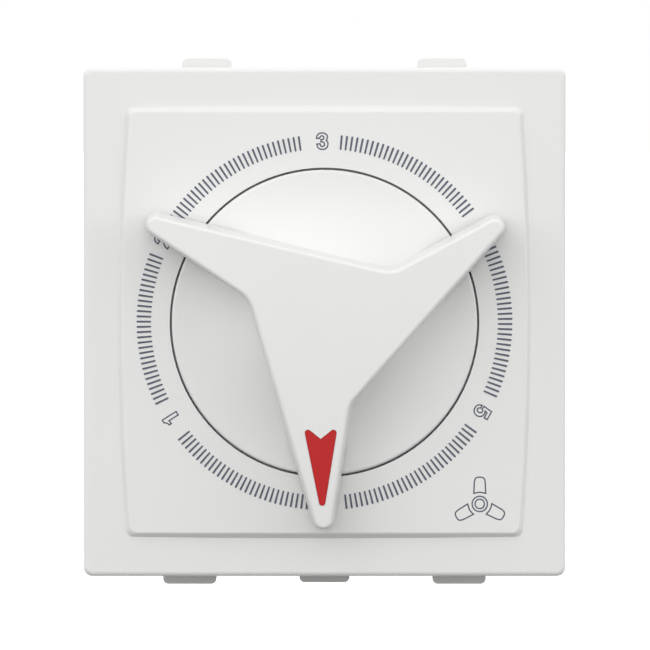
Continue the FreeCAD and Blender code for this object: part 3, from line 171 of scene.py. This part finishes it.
class PrintSizes(bpy.types.PropertyGroup):
    """Where the print sits on the plate and how large it is."""

    tick_inner: bpy.props.FloatProperty(
        name="Tick start", description="Radius where a tick starts",
        default=16.17 * MM, unit="LENGTH")
    tick_outer: bpy.props.FloatProperty(
        name="Tick end", description="Radius where a tick ends",
        default=17.55 * MM, unit="LENGTH")
    tick_width: bpy.props.FloatProperty(
        name="Tick width", description="Width of a tick",
        default=0.19 * MM, unit="LENGTH")
    tick_span: bpy.props.FloatProperty(
        name="Tick span", description="Angle from the first tick between two numbers to the last",
        default=math.radians(47.2), subtype="ANGLE")
    tick_count: bpy.props.IntProperty(
        name="Ticks", description="Ticks between two numbers", default=30, min=2)
    number_radius: bpy.props.FloatProperty(
        name="Number radius", description="Radius of the numbers' centres",
        default=16.92 * MM, unit="LENGTH")
    number_height: bpy.props.FloatProperty(
        name="Number height", description="Height of a number from line middle to line middle",
        default=1.53 * MM, unit="LENGTH")
    line_width: bpy.props.FloatProperty(
        name="Line width", description="Width of the outlines of the numbers and the fan symbol",
        default=0.132 * MM, unit="LENGTH")
    ink_rise: bpy.props.FloatProperty(
        name="Ink rise", description="How far the ink stands proud of the plate",
        default=0.018 * MM, unit="LENGTH")
    ink_sink: bpy.props.FloatProperty(
        name="Ink sink", description="How far the ink reaches into the plate",
        default=0.02 * MM, unit="LENGTH")
    panel_crown: bpy.props.FloatProperty(
        name="Panel crown", description="Radius of the panel's curve from left to right",
        default=0.85, unit="LENGTH")
    fan_place: bpy.props.FloatVectorProperty(
        name="Fan symbol place",
        description="Centre of the fan symbol, to the right and up from the dial's axis",
        default=(14.5 * MM, -16.96 * MM), size=2, subtype="XYZ_LENGTH")
    hub_outer: bpy.props.FloatProperty(
        name="Hub ring", description="Radius of the fan symbol's outer hub ring",
        default=0.72 * MM, unit="LENGTH")
    hub_inner: bpy.props.FloatProperty(
        name="Hub dot", description="Radius of the fan symbol's inner hub ring",
        default=0.44 * MM, unit="LENGTH")
    blade_scale: bpy.props.FloatProperty(
        name="Blade scale", description="Size of a millimetre of the fan symbol's blades",
        default=1 * MM, unit="LENGTH")


class FinishColours(bpy.types.PropertyGroup):
    """The colours of the plastics that show from the front, and of the ink."""

    plate: bpy.props.FloatVectorProperty(
        name="Plate", description="Colour of the plate and its panel",
        default=(0.75, 0.75, 0.74), size=3, subtype="COLOR", min=0, max=1)
    dial: bpy.props.FloatVectorProperty(
        name="Dial", description="Colour of the dial",
        default=(0.76, 0.76, 0.75), size=3, subtype="COLOR", min=0, max=1)
    housing: bpy.props.FloatVectorProperty(
        name="Housing", description="Colour of the housing and its clips",
        default=(0.74, 0.74, 0.73), size=3, subtype="COLOR", min=0, max=1)
    pointer: bpy.props.FloatVectorProperty(
        name="Pointer", description="Colour of the pointer insert",
        default=(0.48, 0.011, 0.012), size=3, subtype="COLOR", min=0, max=1)
    ink: bpy.props.FloatVectorProperty(
        name="Ink", description="Colour of the print",
        default=(0.092, 0.104, 0.138), size=3, subtype="COLOR", min=0, max=1)


class StageSettings(bpy.types.PropertyGroup):
    """The camera, the floor and the light."""

    camera_distance: bpy.props.FloatProperty(
        name="Camera distance", description="Distance from the seating plane to the camera",
        default=1.2, unit="LENGTH")
    view_width: bpy.props.FloatProperty(
        name="View width", description="Width of the view at the seating plane",
        default=60.8 * MM, unit="LENGTH")
    view_centre: bpy.props.FloatVectorProperty(
        name="View centre", description="Middle of the view, to the right and up from the dial's axis",
        default=(0.05 * MM, -0.34 * MM), size=2, subtype="XYZ_LENGTH")
    view_rise: bpy.props.FloatProperty(
        name="View rise", description="How far the camera stands above square on",
        default=math.radians(2), subtype="ANGLE")
    floor_drop: bpy.props.FloatProperty(
        name="Floor drop", description="How far the floor lies under the lowest clip",
        default=13 * MM, unit="LENGTH")
    floor_size: bpy.props.FloatProperty(
        name="Floor size", description="Length of the floor's sides", default=5.0, unit="LENGTH")
    surround: bpy.props.FloatProperty(
        name="Surround", description="Strength of the light from all round", default=1.16)
    key_power: bpy.props.FloatProperty(
        name="Key light", description="Power of the large light above and in front",
        default=4.4, unit="POWER")
    left_power: bpy.props.FloatProperty(
        name="Left light", description="Power of the weak light on the left",
        default=1.0, unit="POWER")
    right_power: bpy.props.FloatProperty(
        name="Right light", description="Power of the weak light on the right",
        default=1.6, unit="POWER")


class Wire:
    """One output of a shader node. Python's operators on it add Math nodes."""

    def __init__(self, finish, socket):
        self.finish = finish
        self.socket = socket

    def maths(self, operation, *values):
        return self.finish.node("ShaderNodeMath", {"operation": operation}, dict(enumerate(values)))

    def __add__(self, other):
        return self.maths("ADD", self, other)

    def __radd__(self, other):
        return self.maths("ADD", other, self)

    def __sub__(self, other):
        return self.maths("SUBTRACT", self, other)

    def __rsub__(self, other):
        return self.maths("SUBTRACT", other, self)

    def __mul__(self, other):
        return self.maths("MULTIPLY", self, other)

    def __rmul__(self, other):
        return self.maths("MULTIPLY", other, self)


class Finish:
    """Builds a node tree for a material or the world."""

    def __init__(self, owner):
        owner.use_nodes = True
        self.owner = owner
        self.tree = owner.node_tree
        self.tree.nodes.clear()

    def node(self, kind, settings=None, values=None, output=0):
        """Adds a node, makes its settings and gives its sockets their values or links."""
        made = self.tree.nodes.new(kind)
        for name, setting in (settings or {}).items():
            setattr(made, name, setting)
        for name, value in (values or {}).items():
            socket = made.inputs[name]
            if isinstance(value, Wire):
                self.tree.links.new(value.socket, socket)
            else:
                socket.default_value = value
        return Wire(self, made.outputs[output]) if len(made.outputs) else None

    def place(self):
        """The place on the object in millimetres."""
        coordinates = self.node("ShaderNodeTexCoord", output="Object")
        return self.node("ShaderNodeMapping", {}, {
            "Vector": coordinates, "Scale": (1 / MM, 1 / MM, 1 / MM)})

    def noise(self, place, pitch, detail=2.0, roughness=0.5):
        """Noise from 0 to 1 whose blotches are about pitch millimetres across."""
        return self.node("ShaderNodeTexNoise", {}, {
            "Vector": place, "Scale": 1 / pitch, "Detail": detail, "Roughness": roughness})

    def stretched(self, place, scale):
        """The place with its three directions scaled on their own."""
        return self.node("ShaderNodeVectorMath", {"operation": "MULTIPLY"}, {0: place, 1: scale})

    def blend(self, factor, first, second):
        """A mix of two colours."""
        return self.node("ShaderNodeMix", {"data_type": "RGBA"}, {
            "Factor": factor, MIX_FIRST: (*first, 1.0), MIX_SECOND: (*second, 1.0)}, output=MIX_RESULT)

    def bump(self, height, depth, under=None):
        """A normal from a height of 0 to 1 that stands for depth millimetres, over another if given."""
        values = {"Height": height, "Distance": depth * MM}
        if under is not None:
            values["Normal"] = under
        return self.node("ShaderNodeBump", {}, values)

    def surface(self, **values):
        """Closes a material with one Principled shader."""
        shader = self.node("ShaderNodeBsdfPrincipled", {}, {
            name.replace("_", " ").title().replace("Ior", "IOR"): value
            for name, value in values.items()})
        self.node("ShaderNodeOutputMaterial", {}, {"Surface": shader})
        return self.owner


def shades(colour, shares):
    """A colour made darker or lighter by each share."""
    return [[min(1.0, part * share) for part in colour] for share in shares]


def moulded_plastic(name, colour, roughness, grain_pitch, grain_depth, gloss=0.5):
    """Moulded plastic: a faint cloud in its colour, an uneven gloss and a fine skin."""
    finish = Finish(bpy.data.materials.new(name))
    place = finish.place()
    cloud = finish.noise(place, CLOUD_PITCH)
    flow = finish.noise(finish.stretched(place, FLOW_STRETCH), FLOW_PITCH, detail=3.0)
    skin = finish.noise(place, grain_pitch, detail=3.0, roughness=0.6)
    wave = finish.noise(place, WAVE_PITCH, detail=1.0)
    skin_normal = finish.bump(skin, grain_depth)
    return finish.surface(
        base_color=finish.blend(cloud, *shades(colour, CLOUD_SHADES)),
        roughness=roughness + (flow - 0.5) * FLOW_UNEVEN,
        specular_ior_level=gloss,
        normal=finish.bump(wave, WAVE_DEPTH, under=skin_normal))


def matte_ink(name, colour):
    """Screen ink: a dense flat colour with a little mottle and a dry surface."""
    finish = Finish(bpy.data.materials.new(name))
    place = finish.place()
    mottle = finish.noise(place, INK_PITCH)
    return finish.surface(
        base_color=finish.blend(mottle, *shades(colour, INK_SHADES)),
        roughness=INK_ROUGHNESS + mottle * INK_UNEVEN,
        specular_ior_level=INK_GLOSS)


def drawn_metal(name, colour, stain, roughness, brushing, scratch_depth):
    """Drawn or rolled metal: fine lines along its length, a light tarnish and an uneven gloss."""
    finish = Finish(bpy.data.materials.new(name))
    place = finish.place()
    lines = finish.noise(finish.stretched(place, brushing), LINES_PITCH)
    tarnish = finish.noise(place, TARNISH_PITCH, detail=4.0, roughness=0.6)
    return finish.surface(
        base_color=finish.blend(tarnish, colour, stain),
        metallic=1.0,
        roughness=roughness + (lines - 0.5) * LINES_UNEVEN + tarnish * TARNISH_UNEVEN,
        normal=finish.bump(lines, scratch_depth))


def plain_body(name, colour, spot, roughness, pitch, depth):
    """A dipped, moulded or pressed body: mottled colour over a coarse skin."""
    finish = Finish(bpy.data.materials.new(name))
    place = finish.place()
    mottle = finish.noise(place, pitch, detail=4.0, roughness=0.6)
    skin = finish.noise(place, pitch * SKIN_SHARE)
    return finish.surface(
        base_color=finish.blend(mottle, colour, spot),
        roughness=roughness + (mottle - 0.5) * BODY_UNEVEN,
        normal=finish.bump(skin, depth))


def dress(node, material):
    """Gives a CAD node its finish."""
    slots = frame["nodes"][node].data.materials
    slots.clear()
    slots.append(material)


def new_piece(name, mesh, material):
    """Links a finished mesh as a piece with its material."""
    mesh.materials.append(material)
    piece = bpy.data.objects.new(name, mesh)
    bpy.context.scene.collection.objects.link(piece)
    return piece


def crown(x):
    """How far the panel's curved face falls back at a distance from its middle."""
    return x * x / (2 * bpy.context.scene.switch_print.panel_crown)


def mesh_of(curve):
    """The mesh that a curve makes. The curve itself is removed."""
    drawn = bpy.data.objects.new("drawing", curve)
    bpy.context.scene.collection.objects.link(drawn)
    graph = bpy.context.evaluated_depsgraph_get()
    mesh = bpy.data.meshes.new_from_object(drawn.evaluated_get(graph))
    bpy.data.objects.remove(drawn)
    bpy.data.curves.remove(curve)
    return mesh


def outlined(lines, sizes):
    """The bead that follows closed lines, each with its scale and turn, on the XY plane."""
    curve = bpy.data.curves.new("drawing", "CURVE")
    curve.dimensions = "2D"
    curve.fill_mode = "NONE"
    curve.bevel_depth = sizes.line_width / 2
    curve.bevel_resolution = BEAD_DETAIL
    curve.resolution_u = LINE_DETAIL
    for line, scale, turn in lines:
        drawn = curve.splines.new("BEZIER")
        drawn.use_cyclic_u = True
        drawn.bezier_points.add(len(line) - 1)
        for point, (across, up, corner) in zip(drawn.bezier_points, line):
            point.co = Matrix.Rotation(turn, 3, "Z") @ Vector((across * scale, up * scale, 0))
            point.handle_left_type = point.handle_right_type = "VECTOR" if corner else "AUTO"
    shape = bmesh.new()
    shape.from_mesh(mesh_of(curve))
    return shape


def lay_ink(shape, sizes):
    """Flattens a drawing on the XY plane to the ink's thickness and stands it on the panel's face."""
    heights = [vertex.co.z for vertex in shape.verts]
    share = (sizes.ink_rise + sizes.ink_sink) / (max(heights) - min(heights))
    bmesh.ops.scale(shape, vec=(1, 1, share), verts=shape.verts)
    bmesh.ops.rotate(
        shape, cent=(0, 0, 0), matrix=Matrix.Rotation(math.pi / 2, 3, "X"), verts=shape.verts)
    middle = PANEL_FACE - (sizes.ink_rise - sizes.ink_sink) / 2
    for vertex in shape.verts:
        vertex.co.y += middle + crown(vertex.co.x)


def ink_piece(name, shape, sizes):
    """Makes a drawing an ink piece that rides on the plate."""
    lay_ink(shape, sizes)
    bmesh.ops.recalc_face_normals(shape, faces=shape.faces)
    mesh = bpy.data.meshes.new(name)
    shape.to_mesh(mesh)
    shape.free()
    colour = bpy.context.scene.switch_colours.ink
    ink = bpy.data.materials.get("print_ink") or matte_ink("print_ink", colour)
    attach(new_piece(name, mesh, ink), FIXED_BODY)


class SWITCH_OT_finishes(bpy.types.Operator):
    """Gives every part of the switch its plastic, metal or laminate"""

    bl_idname = "fan_switch.finishes"
    bl_label = "Finishes"

    def execute(self, context):
        colours = context.scene.switch_colours
        plate = moulded_plastic(
            "plate_white", colours.plate, roughness=0.3, grain_pitch=0.35, grain_depth=0.0012)
        dial = moulded_plastic(
            "dial_white", colours.dial, roughness=0.4, grain_pitch=0.4, grain_depth=0.0008, gloss=0.4)
        housing = moulded_plastic(
            "housing_white", colours.housing, roughness=0.45, grain_pitch=0.22, grain_depth=0.006, gloss=0.4)
        pointer = moulded_plastic(
            "pointer_red", colours.pointer, roughness=0.45, grain_pitch=0.3, grain_depth=0.0015, gloss=0.3)
        rotor = moulded_plastic(
            "rotor_acetal", (0.66, 0.63, 0.54), roughness=0.42, grain_pitch=0.3, grain_depth=0.002)
        base = moulded_plastic(
            "switch_black", (0.006, 0.006, 0.007), roughness=0.4, grain_pitch=0.25, grain_depth=0.004)
        contact = drawn_metal(
            "contact_brass", (0.72, 0.46, 0.16), stain=(0.55, 0.33, 0.11),
            roughness=0.26, brushing=(1, 1, 14), scratch_depth=0.0015)
        terminal = drawn_metal(
            "terminal_brass", (0.74, 0.5, 0.2), stain=(0.58, 0.36, 0.13),
            roughness=0.28, brushing=(1, 14, 1), scratch_depth=0.002)
        spring = drawn_metal(
            "spring_steel", (0.5, 0.5, 0.51), stain=(0.4, 0.4, 0.41),
            roughness=0.3, brushing=(14, 1, 1), scratch_depth=0.0015)
        screw = drawn_metal(
            "screw_zinc", (0.66, 0.66, 0.63), stain=(0.5, 0.5, 0.46),
            roughness=0.33, brushing=(1, 14, 1), scratch_depth=0.002)
        strap = drawn_metal(
            "tinned_strap", (0.68, 0.68, 0.66), stain=(0.55, 0.55, 0.54),
            roughness=0.38, brushing=(1, 1, 10), scratch_depth=0.002)
        board = plain_body(
            "board_laminate", (0.24, 0.11, 0.03), spot=(0.17, 0.075, 0.022),
            roughness=0.5, pitch=1.2, depth=0.006)
        capacitor = plain_body(
            "capacitor_case", (0.56, 0.33, 0.03), spot=(0.5, 0.28, 0.025),
            roughness=0.42, pitch=1.5, depth=0.006)
        resistor = plain_body(
            "resistor_body", (0.46, 0.3, 0.13), spot=(0.4, 0.25, 0.1),
            roughness=0.3, pitch=0.8, depth=0.006)
        finishes = {
            "plate_white": plate, "dial_white": dial, "housing_white": housing, "pointer_red": pointer,
            "rotor_plastic": rotor, "switch_black": base, "contact_brass": contact,
            "terminal_brass": terminal, "spring_steel": spring, "screw_steel": screw,
            "tinned_strap": strap, "board_laminate": board, "capacitor_case": capacitor,
            "resistor_body": resistor,
        }
        for part in frame["record"]["subparts"]:
            dress(part["node"], finishes[part["material_slot"]])
        return {"FINISHED"}


class SWITCH_OT_ticks(bpy.types.Operator):
    """Prints the rows of ticks between the numbers"""

    bl_idname = "fan_switch.ticks"
    bl_label = "Tick marks"

    def execute(self, context):
        sizes = context.scene.switch_print
        shape = bmesh.new()
        radius = sizes.tick_width / 2
        first = bmesh.ops.create_circle(shape, cap_ends=True, segments=TICK_SIDES, radius=radius)["verts"]
        # The outer half takes the two corners in the middle with it
        outer = [vertex for vertex in first if vertex.co.y > -radius * 0.1]
        bmesh.ops.translate(shape, vec=(0, sizes.tick_inner + radius, 0), verts=first)
        bmesh.ops.translate(shape, vec=(0, sizes.tick_outer - sizes.tick_inner - 2 * radius, 0), verts=outer)
        raised = bmesh.ops.extrude_face_region(shape, geom=shape.faces[:], use_keep_orig=True)["geom"]
        top = [part for part in raised if isinstance(part, bmesh.types.BMVert)]
        bmesh.ops.translate(shape, vec=(0, 0, sizes.ink_rise + sizes.ink_sink), verts=top)
        first_turn = math.pi - math.radians(ROW_MIDDLES[0]) - sizes.tick_span / 2
        bmesh.ops.rotate(
            shape, cent=(0, 0, 0), matrix=Matrix.Rotation(first_turn, 3, "Z"), verts=shape.verts)
        bmesh.ops.spin(
            shape, geom=shape.verts[:] + shape.edges[:] + shape.faces[:], cent=(0, 0, 0),
            axis=(0, 0, 1), angle=sizes.tick_span, steps=sizes.tick_count - 1, use_duplicate=True)
        row = shape.verts[:] + shape.edges[:] + shape.faces[:]
        for middle in ROW_MIDDLES[1:]:
            copied = bmesh.ops.duplicate(shape, geom=row)["geom"]
            turn = math.radians(ROW_MIDDLES[0] - middle)
            bmesh.ops.rotate(
                shape, cent=(0, 0, 0), matrix=Matrix.Rotation(turn, 3, "Z"),
                verts=[part for part in copied if isinstance(part, bmesh.types.BMVert)])
        ink_piece("tick_marks", shape, sizes)
        return {"FINISHED"}


class SWITCH_OT_numbers(bpy.types.Operator):
    """Prints the outlined numbers round the dial, off at the bottom and the speeds clockwise"""

    bl_idname = "fan_switch.numbers"
    bl_label = "Speed numbers"

    def execute(self, context):
        sizes = context.scene.switch_print
        for speed, (digit, lines) in enumerate(NUMBER_LINES.items()):
            shape = outlined([(line, sizes.number_height, 0) for line in lines], sizes)
            rise = sizes.number_radius - sizes.number_height / 2
            bmesh.ops.translate(shape, vec=(0, rise, 0), verts=shape.verts)
            turn = math.pi - math.radians(speed * SPEED_STEP + NUMBER_TURNS[digit])
            bmesh.ops.rotate(
                shape, cent=(0, 0, 0), matrix=Matrix.Rotation(turn, 3, "Z"), verts=shape.verts)
            ink_piece("number_" + digit, shape, sizes)
        return {"FINISHED"}


class SWITCH_OT_fan_symbol(bpy.types.Operator):
    """Prints the small outlined fan in the plate's corner"""

    bl_idname = "fan_switch.fan_symbol"
    bl_label = "Fan symbol"

    def execute(self, context):
        sizes = context.scene.switch_print
        lines = [(RING_LINE, radius, 0) for radius in (sizes.hub_outer, sizes.hub_inner)]
        lines += [(BLADE_LINE, sizes.blade_scale, math.radians(turn)) for turn in BLADE_TURNS]
        shape = outlined(lines, sizes)
        bmesh.ops.translate(shape, vec=(*sizes.fan_place, 0), verts=shape.verts)
        ink_piece("fan_symbol", shape, sizes)
        return {"FINISHED"}


class SWITCH_OT_stage(bpy.types.Operator):
    """Sets up the floor, the surround, the lights and the camera"""

    bl_idname = "fan_switch.stage"
    bl_label = "Stage"

    def execute(self, context):
        settings = context.scene.switch_stage
        self.make_floor(settings)
        self.make_surround(context.scene, settings)
        for name, (place, size, power) in LIGHTS.items():
            self.make_light(name, Vector(place), size, getattr(settings, power))
        self.make_camera(context.scene, settings)
        context.scene.view_settings.view_transform = "Standard"
        return {"FINISHED"}

    def make_floor(self, settings):
        """A floor that glows white to the eye, takes a faint shadow and is clear from below."""
        shape = bmesh.new()
        bmesh.ops.create_grid(
            shape, x_segments=1, y_segments=1, size=settings.floor_size / 2,
            matrix=Matrix.Translation((0, 0, LOWEST - settings.floor_drop)))
        mesh = bpy.data.meshes.new("floor")
        shape.to_mesh(mesh)
        shape.free()
        finish = Finish(bpy.data.materials.new("floor_white"))
        seen = self.seen_rays(finish)
        coordinates = finish.node("ShaderNodeTexCoord", output="Object")
        flat = finish.node("ShaderNodeVectorMath", {"operation": "MULTIPLY"}, {0: coordinates, 1: (1, 1, 0)})
        distance = finish.node("ShaderNodeVectorMath", {"operation": "LENGTH"}, {0: flat}, output="Value")
        far = finish.node("ShaderNodeMapRange", {"interpolation_type": "SMOOTHSTEP"}, {
            "Value": distance, "From Min": FLOOR_FADE[0], "From Max": FLOOR_FADE[1]})
        paper_colour = finish.blend(far, *([grey] * 3 for grey in FLOOR_GREYS))
        paper = finish.node("ShaderNodeBsdfDiffuse", {}, {"Color": paper_colour})
        strength = seen * (FLOOR_GLOW_NEAR + far * (1 - FLOOR_GLOW_NEAR))
        glow = finish.node("ShaderNodeEmission", {}, {"Color": (1, 1, 1, 1), "Strength": strength})
        both = finish.node("ShaderNodeAddShader", {}, {0: paper, 1: glow})
        below = finish.node("ShaderNodeNewGeometry", output="Backfacing")
        clear = finish.node("ShaderNodeBsdfTransparent")
        sheet = finish.node("ShaderNodeMixShader", {}, {0: below, 1: both, 2: clear})
        finish.node("ShaderNodeOutputMaterial", {}, {"Surface": sheet})
        new_piece("floor", mesh, finish.owner)

    def make_surround(self, scene, settings):
        """Even light from all round, which the eye and a gloss see as plain white."""
        world = bpy.data.worlds.new("surround")
        finish = Finish(world)
        seen = self.seen_rays(finish)
        strength = settings.surround + seen * (1 - settings.surround)
        light = finish.node("ShaderNodeBackground", {}, {"Color": (1, 1, 1, 1), "Strength": strength})
        finish.node("ShaderNodeOutputWorld", {}, {"Surface": light})
        scene.world = world

    def seen_rays(self, finish):
        """1 for rays that the camera, a gloss or a clear part sends, and 0 for the light itself."""
        kinds = finish.node("ShaderNodeLightPath", output="Is Camera Ray")
        glossy = Wire(finish, kinds.socket.node.outputs["Is Glossy Ray"])
        clear = Wire(finish, kinds.socket.node.outputs["Is Transmission Ray"])
        return kinds.maths("MAXIMUM", kinds, kinds.maths("MAXIMUM", glossy, clear))

    def make_light(self, name, place, size, power):
        """A square light that points at the dial."""
        light = bpy.data.lights.new(name, "AREA")
        light.shape = "SQUARE"
        light.size = size
        light.energy = power
        lamp = bpy.data.objects.new(name, light)
        lamp.location = place
        lamp.rotation_euler = (-place).to_track_quat("-Z", "Y").to_euler()
        bpy.context.scene.collection.objects.link(lamp)

    def make_camera(self, scene, settings):
        """A camera in front of the plate and a little above it, aimed at the middle of the view."""
        camera = bpy.data.cameras.new("camera")
        camera.sensor_width = SENSOR_WIDTH
        camera.lens = camera.sensor_width * settings.camera_distance / settings.view_width
        eye = bpy.data.objects.new("camera", camera)
        aim = Vector((settings.view_centre[0], 0, settings.view_centre[1]))
        back = Vector((0, -settings.camera_distance, 0))
        eye.location = aim + Matrix.Rotation(-settings.view_rise, 3, "X") @ back
        eye.rotation_euler = (math.pi / 2 - settings.view_rise, 0, 0)
        scene.collection.objects.link(eye)
        scene.camera = eye


class SWITCH_PT_panel(bpy.types.Panel):
    """Sizes, colours and steps of the fan speed switch"""

    bl_idname = "SWITCH_PT_panel"
    bl_label = "Fan speed switch"
    bl_space_type = "VIEW_3D"
    bl_region_type = "UI"
    bl_category = "Fan switch"

    def draw(self, context):
        for group in (context.scene.switch_print, context.scene.switch_colours, context.scene.switch_stage):
            box = self.layout.box()
            for name in group.__annotations__:
                box.prop(group, name)
        for step in STEPS:
            self.layout.operator(step.bl_idname)


GROUPS = {"switch_print": PrintSizes, "switch_colours": FinishColours, "switch_stage": StageSettings}
STEPS = (
    SWITCH_OT_finishes, SWITCH_OT_ticks, SWITCH_OT_numbers, SWITCH_OT_fan_symbol, SWITCH_OT_stage)


def register():
    for name, group in GROUPS.items():
        bpy.utils.register_class(group)
        setattr(bpy.types.Scene, name, bpy.props.PointerProperty(type=group))
    for made in (*STEPS, SWITCH_PT_panel):
        bpy.utils.register_class(made)


def unregister():
    for made in (SWITCH_PT_panel, *reversed(STEPS)):
        bpy.utils.unregister_class(made)
    for name, group in GROUPS.items():
        delattr(bpy.types.Scene, name)
        bpy.utils.unregister_class(group)


def main():
    register()
    bpy.ops.fan_switch.finishes()
    bpy.ops.fan_switch.ticks()
    bpy.ops.fan_switch.numbers()
    bpy.ops.fan_switch.fan_symbol()
    bpy.ops.fan_switch.stage()


if __name__ == "__main__":
    main()
